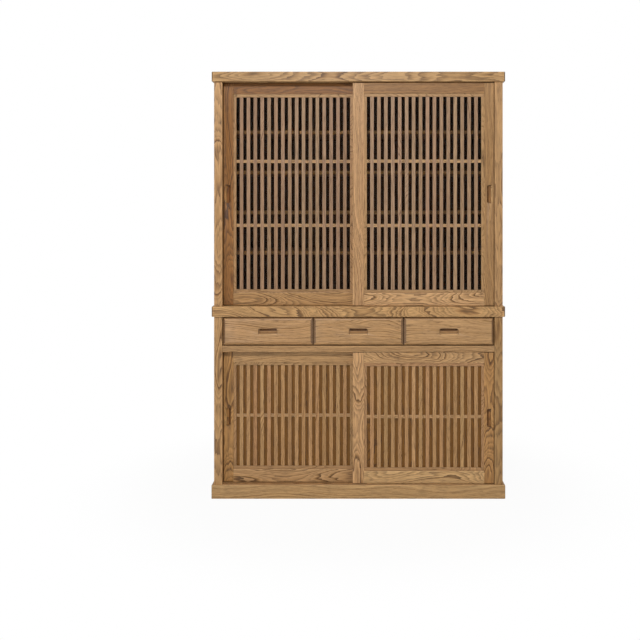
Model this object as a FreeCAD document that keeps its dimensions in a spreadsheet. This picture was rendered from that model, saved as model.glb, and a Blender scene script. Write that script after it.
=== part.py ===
import FreeCAD, Part
import math
import os
import re
import Sketcher

# A mizuya, the sliding-door kitchen cabinet of a Japanese house, in solid ash.
# Frame: +X to the right, +Y to the back, +Z up, origin on the floor under the middle.

# Driving dimensions, in millimetres, and counts.
SIZES = {
    # The whole cabinet, its two thick boards and its side panels.
    "overall_width": 1300,
    "overall_depth": 450,
    "overall_height": 1890,
    "waist_height": 850,
    "board_thick": 43,
    "waist_thick": 45,
    "board_overhang": 10,
    "board_corner": 8,
    "side_thick": 36,
    "edge_ease": 1.5,
    # Housings that the side panels, the floor and the rails are let into.
    "house_depth": 8,
    "house_shoulder": 12,
    # The plinth frame, rebated so that its lip wraps the foot of the case.
    "plinth_height": 60,
    "plinth_thick": 30,
    "plinth_rebate": 21,
    "floor_thick": 21.5,
    # Back panels, held in grooves.
    "back_inset": 12,
    "back_panel_thick": 6,
    "back_groove": 7,
    # Loose shelves on cleats.
    "shelf_thick": 16,
    "first_shelf_height": 226.5,
    "top_shelf_room": 211.5,
    "shelf_front_gap": 6,
    "shelf_fit": 1,
    "cleat_thick": 14,
    "cleat_height": 20,
    "cleat_inset": 15,
    "cleat_nose": 12,
    # Dowels that locate the upper case on the lower one.
    "dowel_radius": 5,
    "dowel_reach": 15,
    "dowel_inset": 60,
    "dowel_fit": 0.1,
    "dowel_play": 0.2,
    # Drawer band: rail, deck, dividers and stretchers.
    "drawer_rail_thick": 26,
    "deck_thick": 15,
    "divider_thick": 18,
    "divider_setback": 2,
    "guide_thick": 7,
    "guide_height": 40,
    "stretcher_thick": 18,
    "stretcher_width": 60,
    # Drawers.
    "drawer_front_height": 120,
    "drawer_front_thick": 22,
    "drawer_gap": 5,
    "drawer_side_gap": 3,
    "drawer_setback": 3,
    "drawer_bevel_width": 10,
    "drawer_bevel_depth": 5,
    "drawer_rear_gap": 17,
    "drawer_side_height": 100,
    "drawer_side_thick": 12,
    "drawer_back_thick": 12,
    "drawer_tail_length": 13,
    "tail_flare": 2,
    "drawer_run_gap": 1,
    "drawer_run_lift": 0.3,
    "drawer_bottom_thick": 5,
    "drawer_bottom_rise": 8,
    "drawer_bottom_groove": 6,
    # Sliding doors and their two tracks.
    "door_thick": 24,
    "door_setback": 6,
    "track_gap": 4,
    "door_end_gap": 2.5,
    "shoulder_gap": 3,
    "tongue_thick": 10,
    "groove_fit": 0.5,
    "head_groove": 14,
    "head_tongue": 12,
    "sill_groove": 4,
    "sill_tongue": 6.7,
    "meeting_stile_width": 50,
    "pull_stile_width": 43,
    "top_rail_width": 48,
    "bottom_rail_width": 55,
    "tenon_thick": 8,
    "tenon_length": 30,
    "tenon_shoulder": 12,
    # Lattices in the doors.
    "lattice_setback": 4,
    "lattice_thick": 10,
    "lattice_side_border": 12.5,
    "lattice_end_border": 14.5,
    "slat_width": 15.8,
    "slat_ease": 1.5,
    "bar_height": 14,
    "bar_thick": 5,
    # Glass and wooden panels behind the lattices.
    "glass_thick": 3,
    "door_panel_thick": 4,
    "pane_groove": 8,
    "pane_fit": 0.3,
    "pane_edge_gap": 1,
    # Recessed pulls.
    "door_pull_length": 80,
    "door_pull_width": 19,
    "door_pull_depth": 10,
    "drawer_pull_length": 84,
    "drawer_pull_width": 24,
    "drawer_pull_depth": 13,
    "pull_corner": 5,
    "pull_bevel": 4,
    # How far every cut runs past the face that it leaves.
    "overrun": 5,
}

# Counts of pieces that repeat.
SLATS = 16
UPPER_BARS = 2
LOWER_BARS = 1
SHELVES = 4
DRAWERS = ("left", "centre", "right")

# Places and sizes that follow from the driving dimensions.
PLACES = {
    "board_half": "overall_width / 2",
    "case_half": "board_half - board_overhang",
    "inner_half": "case_half - side_thick",
    "side_middle": "inner_half + side_thick / 2",
    "house_half": "inner_half + house_depth",
    "board_front": "-overall_depth / 2",
    "case_front": "board_front + board_overhang",
    "case_back": "overall_depth / 2",
    "panel_rear": "case_back - back_inset",
    "panel_front": "panel_rear - back_panel_thick",
    "upper_roof": "overall_height - board_thick",
    "waist_under": "waist_height - waist_thick",
    "case_foot": "plinth_height - plinth_rebate",
    "floor_top": "case_foot + floor_thick",
    "drawer_floor": "waist_under - drawer_front_height - 2 * drawer_gap",
    "rail_under": "drawer_floor - drawer_rail_thick",
    "deck_under": "drawer_floor - deck_thick",
    "stretcher_under": "waist_under - stretcher_thick",
    "front_track": "case_front + door_setback",
    "rear_track": "front_track + door_thick + track_gap",
    "track_back": "rear_track + door_thick + door_setback",
    "shelf_span": "upper_roof - waist_height - first_shelf_height - shelf_thick - top_shelf_room",
    "shelf_step": "shelf_span / %d" % (SHELVES - 1),
    "shelf_front": "track_back + shelf_front_gap",
    "shelf_back": "panel_front - shelf_fit",
    "lower_shelf_under": "(floor_top + deck_under - shelf_thick) / 2",
    "drawer_face": "case_front + drawer_setback",
    "drawer_face_rear": "drawer_face + drawer_front_thick",
    "drawer_band_front": "drawer_face_rear + divider_setback",
    "drawer_end": "panel_front - drawer_rear_gap",
    "drawer_width": "(2 * inner_half - %d * drawer_side_gap) / %d" % (len(DRAWERS) + 1, len(DRAWERS)),
    "divider_place": "(drawer_width + drawer_side_gap) / 2",
    "drawer_foot": "drawer_floor + drawer_gap",
    "drawer_top": "drawer_foot + drawer_front_height",
    "drawer_run": "drawer_floor + drawer_run_lift",
    "drawer_side_top": "drawer_run + drawer_side_height",
    "drawer_bottom_under": "drawer_run + drawer_bottom_rise",
    "drawer_bottom_top": "drawer_bottom_under + drawer_bottom_thick",
    "door_edge": "inner_half - door_end_gap",
    "door_meeting": "-meeting_stile_width / 2",
    "light_low": "door_meeting + meeting_stile_width",
    "light_high": "door_edge - pull_stile_width",
    "light_width": "light_high - light_low",
    "groove_half": "tongue_thick / 2 + groove_fit",
    "slat_gap": "(light_width - 2 * lattice_side_border - %d * slat_width) / %d" % (SLATS, SLATS + 1),
    "slat_pitch": "slat_width + slat_gap",
}

doc = FreeCAD.newDocument("mizuya_cabinet")
sheet = doc.addObject("Spreadsheet::Sheet", "Sizes")
for row, (name, size) in enumerate(SIZES.items(), start=1):
    sheet.set("A%d" % row, name)
    sheet.set("B%d" % row, str(size))
    sheet.setAlias("B%d" % row, name)
doc.recompute()

low_corners = {}
nodes = []


def formula(text):
    """The text with each plain name turned into its cell, or into the formula that it stands for."""

    def expand(match):
        name = match.group(0)
        return "(" + formula(PLACES[name]) + ")" if name in PLACES else "Sizes." + name

    return re.sub("[a-z][a-z_]*", expand, text)


def value(text):
    return float(sheet.evalExpression(formula(text)))


def bind(thing, formulas):
    for where, text in formulas.items():
        thing.setExpression(where, formula(text))


def minus(text, other):
    return "(%s) - (%s)" % (text, other)


def beside(hand, place):
    """A place along X on the right-hand side, or its mirror image on the left."""
    return place if hand == "right" else "-(%s)" % place


def sided(hand, low, high):
    """An extent along X on the right-hand side, or its mirror image on the left."""
    return (low, high) if hand == "right" else (beside(hand, high), beside(hand, low))


def origin_plane(body, role):
    return next(plane for plane in body.Origin.OriginFeatures if plane.Role == role)


def new_body(label, low):
    body = doc.addObject("PartDesign::Body", label)
    body.Label = label
    bind(body, {"Placement.Base.x": low[0], "Placement.Base.y": low[1], "Placement.Base.z": low[2]})
    low_corners[body.Name] = low
    return body


def new_sketch(body, name, plane, lift=None):
    sketch = body.newObject("Sketcher::SketchObject", name)
    sketch.AttachmentSupport = (origin_plane(body, plane), "")
    sketch.MapMode = "FlatFace"
    if lift:
        bind(sketch, {"AttachmentOffset.Base.z": lift})
    return sketch


def constrain(sketch, kind, geometry, text):
    """A dimension of the sketch, driven by a formula."""
    index = sketch.addConstraint(Sketcher.Constraint(kind, *geometry, value(text)))
    bind(sketch, {"Constraints[%d]" % index: text})


def polygon(body, name, plane, points, lift=None):
    """A closed outline through points, each given by two formulas from the corner of the body."""
    sketch = new_sketch(body, name, plane, lift)
    places = [FreeCAD.Vector(value(across), value(along), 0) for across, along in points]
    for start, end in zip(places, places[1:] + places[:1]):
        sketch.addGeometry(Part.LineSegment(start, end), False)
    for index in range(len(points)):
        following = (index + 1) % len(points)
        sketch.addConstraint(Sketcher.Constraint("Coincident", index, 2, following, 1))
    for index, (across, along) in enumerate(points):
        constrain(sketch, "DistanceX", (-1, 1, index, 1), across)
        constrain(sketch, "DistanceY", (-1, 1, index, 1), along)
    return sketch


def rounded_slot(body, name, middle, length, width, radius):
    """A rectangle with rounded corners on the front face of a body, placed by its middle."""
    sketch = new_sketch(body, name, "XZ_Plane")
    x, z = value(middle[0]), value(middle[1])
    half_x, half_z, r = value(length) / 2, value(width) / 2, value(radius)
    left, right, low, high = x - half_x, x + half_x, z - half_z, z + half_z
    straight = [
        ((left + r, low), (right - r, low)),
        ((right, low + r), (right, high - r)),
        ((right - r, high), (left + r, high)),
        ((left, high - r), (left, low + r)),
    ]
    corners = [(right - r, low + r), (right - r, high - r), (left + r, high - r), (left + r, low + r)]
    for start, end in straight:
        sketch.addGeometry(Part.LineSegment(FreeCAD.Vector(*start, 0), FreeCAD.Vector(*end, 0)), False)
    for index, centre in enumerate(corners):
        circle = Part.Circle(FreeCAD.Vector(*centre, 0), FreeCAD.Vector(0, 0, 1), r)
        begin = (index - 1) * math.pi / 2
        sketch.addGeometry(Part.ArcOfCircle(circle, begin, begin + math.pi / 2), False)
    for index, across in enumerate(("Horizontal", "Vertical", "Horizontal", "Vertical")):
        arc = len(straight) + index
        sketch.addConstraint(Sketcher.Constraint("Tangent", index, 2, arc, 1))
        sketch.addConstraint(Sketcher.Constraint("Tangent", arc, 2, (index + 1) % len(straight), 1))
        sketch.addConstraint(Sketcher.Constraint(across, index))
    for index in range(1, len(corners)):
        sketch.addConstraint(Sketcher.Constraint("Equal", len(straight), len(straight) + index))
    constrain(sketch, "Radius", (len(straight),), radius)
    constrain(sketch, "DistanceX", (3, 1, 1, 1), length)
    constrain(sketch, "DistanceY", (0, 1, 2, 1), width)
    constrain(sketch, "DistanceX", (-1, 1, 3, 1), "(%s) - (%s) / 2" % (middle[0], length))
    constrain(sketch, "DistanceY", (-1, 1, 0, 1), "(%s) - (%s) / 2" % (middle[1], width))
    return sketch


def pad(body, sketch, length):
    feature = body.newObject("PartDesign::Pad", "Pad")
    feature.Profile = sketch
    bind(feature, {"Length": length})
    doc.recompute()
    return feature


def board(label, low, high):
    """A squared board: a rectangle padded upwards, in a body that stands at its low corner."""
    body = new_body(label, low)
    length, width, height = (minus(high[axis], low[axis]) for axis in range(3))
    corners = [("0", "0"), (length, "0"), (length, width), ("0", width)]
    pad(body, polygon(body, "Outline", "XY_Plane", corners), height)
    return body


def box_feature(kind, body, name, low, high):
    feature = body.newObject(kind, name)
    corner = low_corners[body.Name]
    bind(feature, {
        "Length": minus(high[0], low[0]),
        "Width": minus(high[1], low[1]),
        "Height": minus(high[2], low[2]),
        "Placement.Base.x": minus(low[0], corner[0]),
        "Placement.Base.y": minus(low[1], corner[1]),
        "Placement.Base.z": minus(low[2], corner[2]),
    })


def cut(body, name, low, high):
    box_feature("PartDesign::SubtractiveBox", body, name, low, high)


def add(body, name, low, high):
    box_feature("PartDesign::AdditiveBox", body, name, low, high)


def drill(body, name, foot, radius, length):
    """A round hole that goes upwards from its foot point."""
    hole = body.newObject("PartDesign::SubtractiveCylinder", name)
    corner = low_corners[body.Name]
    bind(hole, {
        "Radius": radius,
        "Height": length,
        "Placement.Base.x": minus(foot[0], corner[0]),
        "Placement.Base.y": minus(foot[1], corner[1]),
        "Placement.Base.z": minus(foot[2], corner[2]),
    })


def repeat(body, feature, role, length, count):
    """Copies a feature in a row along an origin axis."""
    pattern = body.newObject("PartDesign::LinearPattern", "Row")
    pattern.Originals = [feature]
    pattern.Direction = (origin_plane(body, role), [""])
    pattern.Occurrences = count
    bind(pattern, {"Length": length})
    body.Tip = pattern
    doc.recompute()


def edge_names(feature, wanted):
    return ["Edge%d" % (index + 1) for index, edge in enumerate(feature.Shape.Edges) if wanted(edge)]


def on_level(axis, level):
    """A test for edges whose every point lies at a level along one axis."""
    reach = value("overrun") * 1e-6

    def wanted(edge):
        box = edge.BoundBox
        ends = {"x": (box.XMin, box.XMax), "y": (box.YMin, box.YMax), "z": (box.ZMin, box.ZMax)}[axis]
        return all(abs(end - level) < reach for end in ends)

    return wanted


def ease(body, wanted, size="edge_ease", second=None):
    """Chamfers the wanted edges of the body as it stands."""
    doc.recompute()
    base = body.Tip
    chamfer = body.newObject("PartDesign::Chamfer", "Ease")
    chamfer.Base = (base, edge_names(base, wanted))
    bind(chamfer, {"Size": size})
    if second:
        chamfer.ChamferType = "Two distances"
        bind(chamfer, {"Size2": second})
    doc.recompute()


def ease_front(body):
    ease(body, on_level("y", 0))


def round_front_corners(body, radius):
    """Rounds the two upright edges at the front of a board."""
    doc.recompute()
    base = body.Tip
    front = on_level("y", 0)
    upright = [name for name in edge_names(base, front)
               if abs(base.Shape.getElement(name).tangentAt(0).z) > 0.5]
    fillet = body.newObject("PartDesign::Fillet", "Corners")
    fillet.Base = (base, upright)
    bind(fillet, {"Radius": radius})
    doc.recompute()


def keep(thing):
    nodes.append(thing)
    return thing


def group(label, members):
    """Several separate solids that share one node."""
    compound = doc.addObject("Part::Compound", label)
    compound.Label = label
    compound.Links = members
    return keep(compound)


# The two thick boards: grooved for the doors, housed for the side panels.
def thick_board(label, top, thick):
    body = board(label, ("-board_half", "board_front", minus(top, thick)), ("board_half", "case_back", top))
    round_front_corners(body, "board_corner")
    ease(body, lambda edge: on_level("z", 0)(edge) or on_level("z", value(thick))(edge))
    return keep(body)


def track_grooves(body, half, low, high):
    """Two grooves side by side, one for the front door and one for the rear door."""
    for name, track in (("FrontGroove", "front_track"), ("RearGroove", "rear_track")):
        middle = "%s + door_thick / 2" % track
        cut(body, name, ("-(%s)" % half, middle + " - groove_half", low),
            (half, middle + " + groove_half", high))


def side_housings(body, low, high):
    for hand in ("left", "right"):
        x = sided(hand, "inner_half", "case_half")
        cut(body, "SideHousing", (x[0], "case_front", low), (x[1], "case_back + overrun", high))


def top_board():
    body = thick_board("top_board", "overall_height", "board_thick")
    low = "upper_roof - overrun"
    track_grooves(body, "inner_half", low, "upper_roof + head_groove")
    side_housings(body, low, "upper_roof + house_depth")
    cut(body, "BackGroove", ("-inner_half", "panel_front", low),
        ("inner_half", "panel_rear", "upper_roof + back_groove"))


def waist_board():
    body = thick_board("waist_board", "waist_height", "waist_thick")
    high = "waist_height + overrun"
    track_grooves(body, "inner_half", "waist_height - sill_groove", high)
    side_housings(body, "waist_height - house_depth", high)
    cut(body, "BackGroove", ("-inner_half", "panel_front", "waist_height - back_groove"),
        ("inner_half", "panel_rear", high))
    for hand in ("left", "right"):
        for y in ("case_front + dowel_inset", "case_back - dowel_inset"):
            drill(body, "DowelHole", (beside(hand, "side_middle"), y, "waist_under - overrun"),
                  "dowel_radius + dowel_fit", "dowel_reach + overrun")


# Side panels: housed into the boards, and grooved for the back.
def side_panel(level, hand):
    low, high = {
        "upper": ("waist_height - house_depth", "upper_roof + house_depth"),
        "lower": ("case_foot", "waist_under"),
    }[level]
    x = sided(hand, "inner_half", "case_half")
    body = board("%s_%s_side" % (level, hand), (x[0], "case_front", low), (x[1], "case_back", high))
    ease_front(body)
    groove = sided(hand, "inner_half - overrun", "inner_half + back_groove")
    cut(body, "BackGroove", (groove[0], "panel_front", low), (groove[1], "panel_rear", high))
    house = sided(hand, "inner_half - overrun", "house_half")
    if level == "lower":
        cut(body, "FloorHousing", (house[0], "case_front + house_shoulder", "case_foot - overrun"),
            (house[1], "panel_front", "floor_top"))
        cut(body, "RailHousing", (house[0], "case_front + house_shoulder", "rail_under"),
            (house[1], "track_back", "drawer_floor"))
        cut(body, "DeckHousing", (house[0], "track_back", "deck_under"),
            (house[1], "panel_front", "drawer_floor"))
        for y in ("case_front + dowel_inset", "case_back - dowel_inset"):
            drill(body, "DowelHole", (beside(hand, "side_middle"), y, "waist_under - dowel_reach"),
                  "dowel_radius + dowel_fit", "dowel_reach + overrun")
    return keep(body)


# Back panels, slid into the grooves of the sides and boards.
def back_panel(level):
    half = "inner_half + back_groove"
    low, high = {
        "upper": ("waist_height - back_groove", "upper_roof + back_groove"),
        "lower": ("case_foot", "waist_under"),
    }[level]
    if level == "upper":
        body = board("upper_back_panel", ("-(%s)" % half, "panel_front", "waist_height"),
                     (half, "panel_rear", "upper_roof"))
        add(body, "FootTongue", ("-inner_half", "panel_front", low),
            ("inner_half", "panel_rear", "waist_height"))
        add(body, "HeadTongue", ("-inner_half", "panel_front", "upper_roof"),
            ("inner_half", "panel_rear", high))
    else:
        body = board("lower_back_panel", ("-(%s)" % half, "panel_front", low), (half, "panel_rear", high))
    return keep(body)


# Loose shelves, each on a cleat at either side, whose nose is cut back underneath.
def shelf(label, under):
    body = board(label, ("-inner_half + shelf_fit", "shelf_front", under),
                 ("inner_half - shelf_fit", "shelf_back", under + " + shelf_thick"))
    ease_front(body)
    return keep(body)


def shelf_cleat(hand, top):
    x = sided(hand, "inner_half - cleat_thick", "inner_half")
    body = board(hand + "_cleat", (x[0], "shelf_front + cleat_inset", top + " - cleat_height"),
                 (x[1], "shelf_back", top))
    ease(body, lambda edge: on_level("y", 0)(edge) and on_level("z", 0)(edge), "cleat_nose")
    return body


def shelves():
    heights = {"lower_shelf": "lower_shelf_under"}
    for index in range(SHELVES):
        label = "upper_shelf_%d" % (index + 1)
        heights[label] = "waist_height + first_shelf_height + %d * shelf_step" % index
    cleats = []
    for label, under in heights.items():
        shelf(label, under)
        for hand in ("left", "right"):
            cleats.append(shelf_cleat(hand, under))
    group("shelf_cleats", cleats)


# Plinth frame, mitred at its front corners, with a rebate that the case drops into.
def plinth_front():
    body = new_body("plinth_front", ("-board_half", "board_front", "0"))
    outline = polygon(body, "Outline", "XY_Plane", [
        ("0", "0"),
        ("overall_width", "0"),
        ("overall_width - plinth_thick", "plinth_thick"),
        ("plinth_thick", "plinth_thick"),
    ])
    pad(body, outline, "plinth_height")
    cut(body, "Rebate", ("-case_half", "case_front", "case_foot"),
        ("case_half", "case_front + plinth_thick", "plinth_height + overrun"))
    ease(body, lambda edge: on_level("y", 0)(edge) and on_level("z", value("plinth_height"))(edge))
    return keep(body)


def plinth_side(hand):
    x = sided(hand, "board_half - plinth_thick", "board_half")
    body = new_body("plinth_" + hand, (x[0], "board_front", "0"))
    outlines = {
        "right": [("0", "plinth_thick"), ("plinth_thick", "0"), ("plinth_thick", "overall_depth"),
                  ("0", "overall_depth")],
        "left": [("0", "0"), ("plinth_thick", "plinth_thick"), ("plinth_thick", "overall_depth"),
                 ("0", "overall_depth")],
    }
    pad(body, polygon(body, "Outline", "XY_Plane", outlines[hand]), "plinth_height")
    rebate = sided(hand, "case_half - plinth_thick", "case_half")
    cut(body, "Rebate", (rebate[0], "case_front", "case_foot"),
        (rebate[1], "case_back + overrun", "plinth_height + overrun"))
    outer = value("plinth_thick") if hand == "right" else 0
    ease(body, lambda edge: on_level("x", outer)(edge) and on_level("z", value("plinth_height"))(edge))
    return keep(body)


def plinth_back():
    half = "board_half - plinth_thick"
    return keep(board("plinth_back", ("-(%s)" % half, "case_back - plinth_thick", "0"),
                      (half, "case_back", "case_foot")))


# Lower case: floor and drawer rail with the door grooves, deck, drawer guides, stretchers.
def stub_ends(body, front, back, low, high):
    """Stubs at both ends of a piece, let into the side panels."""
    for hand in ("left", "right"):
        x = sided(hand, "inner_half", "house_half")
        add(body, "Stub", (x[0], front, low), (x[1], back, high))


def floor_board():
    body = board("floor_board", ("-inner_half", "case_front", "case_foot"),
                 ("inner_half", "panel_front", "floor_top"))
    ease_front(body)
    stub_ends(body, "case_front + house_shoulder", "panel_front", "case_foot", "floor_top")
    track_grooves(body, "inner_half", "floor_top - sill_groove", "floor_top + overrun")
    return keep(body)


def drawer_rail():
    body = board("drawer_rail", ("-inner_half", "case_front", "rail_under"),
                 ("inner_half", "track_back", "drawer_floor"))
    ease_front(body)
    stub_ends(body, "case_front + house_shoulder", "track_back", "rail_under", "drawer_floor")
    track_grooves(body, "inner_half", "rail_under - overrun", "rail_under + head_groove")
    return keep(body)


def drawer_deck():
    return keep(board("drawer_deck", ("-house_half", "track_back", "deck_under"),
                      ("house_half", "panel_front", "drawer_floor")))


def drawer_guides():
    """The two dividers between the drawers, and a guide strip at either side panel."""
    members = []
    for hand in ("left", "right"):
        x = sided(hand, "divider_place - divider_thick / 2", "divider_place + divider_thick / 2")
        members.append(board(hand + "_divider", (x[0], "drawer_band_front", "drawer_floor"),
                             (x[1], "panel_front", "stretcher_under")))
        x = sided(hand, "inner_half - guide_thick", "inner_half")
        members.append(board(hand + "_guide", (x[0], "drawer_band_front", "drawer_floor"),
                             (x[1], "panel_front", "drawer_floor + guide_height")))
    group("drawer_guides", members)


def top_stretchers():
    places = {
        "front": ("drawer_band_front", "drawer_band_front + stretcher_width"),
        "back": ("panel_front - stretcher_width", "panel_front"),
    }
    members = []
    for end, y in places.items():
        members.append(board(end + "_stretcher", ("-inner_half", y[0], "stretcher_under"),
                             ("inner_half", y[1], "waist_under")))
    group("top_stretchers", members)


def locating_dowels():
    dowels = []
    for hand in ("left", "right"):
        for y in ("case_front + dowel_inset", "case_back - dowel_inset"):
            dowel = doc.addObject("Part::Cylinder", "Dowel")
            bind(dowel, {"Radius": "dowel_radius", "Height": "2 * dowel_reach - dowel_play",
                         "Placement.Base.x": beside(hand, "side_middle"), "Placement.Base.y": y,
                         "Placement.Base.z": "waist_under - dowel_reach"})
            dowels.append(dowel)
    group("locating_dowels", dowels)


# A recessed pull: a rounded pocket in a front face, with one long lip bevelled.
def pull_recess(body, middle, length, width, depth, bevel_side):
    corner = low_corners[body.Name]
    place = (minus(middle[0], corner[0]), minus(middle[1], corner[2]))
    before = body.Shape.Volume
    sketch = rounded_slot(body, "PullOutline", place, length, width, "pull_corner")
    pocket = body.newObject("PartDesign::Pocket", "Pull")
    pocket.Profile = sketch
    bind(pocket, {"Length": depth})
    doc.recompute()
    if body.Shape.Volume >= before:
        raise RuntimeError("the pull of %s cuts nothing" % body.Label)
    lip = body.newObject("PartDesign::SubtractiveWedge", "Lip")
    bevel_wedge(lip, place, length, width, bevel_side)
    doc.recompute()


def bevel_wedge(lip, place, length, width, side):
    """The wedge outside one long edge of the pull: widest at the front face, nothing at its depth."""
    low = {"X": "(%s) - (%s) / 2" % (place[0], length), "Z": "(%s) - (%s) / 2" % (place[1], width)}
    high = {"X": "(%s) + (%s) / 2" % (place[0], length), "Z": "(%s) + (%s) / 2" % (place[1], width)}
    bind(lip, {"Ymin": "0", "Ymax": "pull_bevel"})
    run, fall = ("X", "Z") if side == "below" else ("Z", "X")
    for end in ("", "2"):
        bind(lip, {run + end + "min": low[run] + " + pull_corner",
                   run + end + "max": high[run] + " - pull_corner"})
    if side == "right":
        faces = {"min": high[fall] + " - pull_bevel", "max": high[fall] + " + pull_bevel",
                 "2min": high[fall] + " - pull_bevel", "2max": high[fall]}
    else:
        faces = {"min": low[fall] + " - pull_bevel", "max": low[fall] + " + pull_bevel",
                 "2min": low[fall], "2max": low[fall] + " + pull_bevel"}
    bind(lip, {fall + face: text for face, text in faces.items()})


# Sliding doors: tenoned frames with tongues in the tracks, a lattice, and glass or wood behind it.
DOORS = {
    "upper": {
        "foot": "waist_height + shoulder_gap",
        "head": "upper_roof - shoulder_gap",
        "bars": UPPER_BARS,
        "pane": "glass",
        "pane_thick": "glass_thick",
    },
    "lower": {
        "foot": "floor_top + shoulder_gap",
        "head": "rail_under - shoulder_gap",
        "bars": LOWER_BARS,
        "pane": "panel",
        "pane_thick": "door_panel_thick",
    },
}


def door(level, hand):
    facts = dict(DOORS[level])
    facts["label"] = "%s_%s_door_" % (level, hand)
    facts["hand"] = hand
    facts["face"] = {"right": "front_track", "left": "rear_track"}[hand]
    facts["light_foot"] = facts["foot"] + " + bottom_rail_width"
    facts["light_head"] = facts["head"] + " - top_rail_width"
    facts["pane_face"] = facts["face"] + " + lattice_setback + lattice_thick + pane_fit"
    for name in STILES:
        door_stile(facts, name)
    door_rail(facts, "top_rail", facts["light_head"], facts["head"])
    door_rail(facts, "bottom_rail", facts["foot"], facts["light_foot"])
    door_lattice(facts)
    door_pane(facts)


def pane_groove(facts):
    """The extent along Y of the groove that holds the pane."""
    front = facts["pane_face"] + " - pane_fit"
    return front, front + " + 2 * pane_fit + " + facts["pane_thick"]


def tongue(body, facts, x, low, high):
    middle = facts["face"] + " + door_thick / 2"
    add(body, "Tongue", (x[0], middle + " - tongue_thick / 2", low),
        (x[1], middle + " + tongue_thick / 2", high))


# Each stile's extent along X, and those of its groove and its mortises, on a right-hand door.
STILES = {
    "pull_stile": {
        "wood": ("light_high", "door_edge"),
        "groove": ("light_high - overrun", "light_high + pane_groove"),
        "mortise": ("light_high - overrun", "light_high + tenon_length"),
    },
    "meeting_stile": {
        "wood": ("door_meeting", "light_low"),
        "groove": ("light_low - pane_groove", "light_low + overrun"),
        "mortise": ("light_low - tenon_length", "light_low + overrun"),
    },
}


def door_stile(facts, name):
    x, groove, mortise = (sided(facts["hand"], *STILES[name][kind]) for kind in ("wood", "groove", "mortise"))
    rear = facts["face"] + " + door_thick"
    body = board(facts["label"] + name, (x[0], facts["face"], facts["foot"]), (x[1], rear, facts["head"]))
    ease_front(body)
    tongue(body, facts, x, facts["foot"] + " - sill_tongue", facts["foot"])
    tongue(body, facts, x, facts["head"], facts["head"] + " + head_tongue")
    pane = pane_groove(facts)
    cut(body, "PaneGroove", (groove[0], pane[0], facts["light_foot"] + " - pane_groove"),
        (groove[1], pane[1], facts["light_head"] + " + pane_groove"))
    middle = facts["face"] + " + door_thick / 2"
    for rail_foot, rail_head in ((facts["foot"], facts["light_foot"]), (facts["light_head"], facts["head"])):
        cut(body, "Mortise", (mortise[0], middle + " - tenon_thick / 2", rail_foot + " + tenon_shoulder"),
            (mortise[1], middle + " + tenon_thick / 2", rail_head + " - tenon_shoulder"))
    if name == "pull_stile":
        doc.recompute()
        centre = ("((%s) + (%s)) / 2" % x, "((%s) + (%s)) / 2" % (facts["foot"], facts["head"]))
        pull_recess(body, centre, "door_pull_width", "door_pull_length", "door_pull_depth", facts["hand"])
    return keep(body)


def door_rail(facts, name, low, high):
    x = sided(facts["hand"], "light_low", "light_high")
    rear = facts["face"] + " + door_thick"
    body = board(facts["label"] + name, (x[0], facts["face"], low), (x[1], rear, high))
    ease_front(body)
    middle = facts["face"] + " + door_thick / 2"
    for tenon in (("light_low - tenon_length", "light_low"), ("light_high", "light_high + tenon_length")):
        reach = sided(facts["hand"], *tenon)
        add(body, "Tenon", (reach[0], middle + " - tenon_thick / 2", low + " + tenon_shoulder"),
            (reach[1], middle + " + tenon_thick / 2", high + " - tenon_shoulder"))
    pane = pane_groove(facts)
    if name == "top_rail":
        tongue(body, facts, x, high, high + " + head_tongue")
        cut(body, "PaneGroove", (x[0], pane[0], low + " - overrun"), (x[1], pane[1], low + " + pane_groove"))
    else:
        tongue(body, facts, x, low + " - sill_tongue", low)
        cut(body, "PaneGroove", (x[0], pane[0], high + " - pane_groove"),
            (x[1], pane[1], high + " + overrun"))
    return keep(body)


def door_lattice(facts):
    """One glued grille: a border, upright slats, and crossbars halved into their backs."""
    x = sided(facts["hand"], "light_low", "light_high")
    front = facts["face"] + " + lattice_setback"
    back = front + " + lattice_thick"
    low, high = facts["light_foot"], facts["light_head"]
    body = board(facts["label"] + "lattice", (x[0], front, low), (x[1], back, high))
    gap_low = low + " + lattice_end_border"
    gap_high = high + " - lattice_end_border"
    first = x[0] + " + lattice_side_border"
    cut(body, "Light", (first, front + " - overrun", gap_low),
        (x[1] + " - lattice_side_border", back + " + overrun", gap_high))
    near, far = "lattice_side_border + slat_gap", "lattice_side_border + slat_gap + slat_width"
    profile = polygon(body, "SlatProfile", "XY_Plane", [
        (near, "slat_ease"),
        (near + " + slat_ease", "0"),
        (far + " - slat_ease", "0"),
        (far, "slat_ease"),
        (far, "lattice_thick"),
        (near, "lattice_thick"),
    ], "lattice_end_border")
    slat = pad(body, profile, minus(gap_high, gap_low))
    repeat(body, slat, "X_Axis", "%d * slat_pitch" % (SLATS - 1), SLATS)
    spaces = facts["bars"] + 1
    for index in range(1, spaces):
        centre = "(%s) + ((%s) - (%s)) * %d / %d" % (gap_low, gap_high, gap_low, index, spaces)
        add(body, "Crossbar", (first, back + " - bar_thick", centre + " - bar_height / 2"),
            (x[1] + " - lattice_side_border", back, centre + " + bar_height / 2"))
    return keep(body)


def door_pane(facts):
    margin = "(pane_groove - pane_edge_gap)"
    x = sided(facts["hand"], "light_low - " + margin, "light_high + " + margin)
    return keep(board(facts["label"] + facts["pane"],
                      (x[0], facts["pane_face"], facts["light_foot"] + " - " + margin),
                      (x[1], facts["pane_face"] + " + " + facts["pane_thick"],
                       facts["light_head"] + " + " + margin)))


# Drawers: a bevelled front, two dovetailed sides, a back, and a bottom held in grooves.
# Each tail's extent as shares of the height of its joint, at the narrow end.
TAIL_SHARES = ((0.09, 0.27), (0.41, 0.59), (0.73, 0.91))


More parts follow.
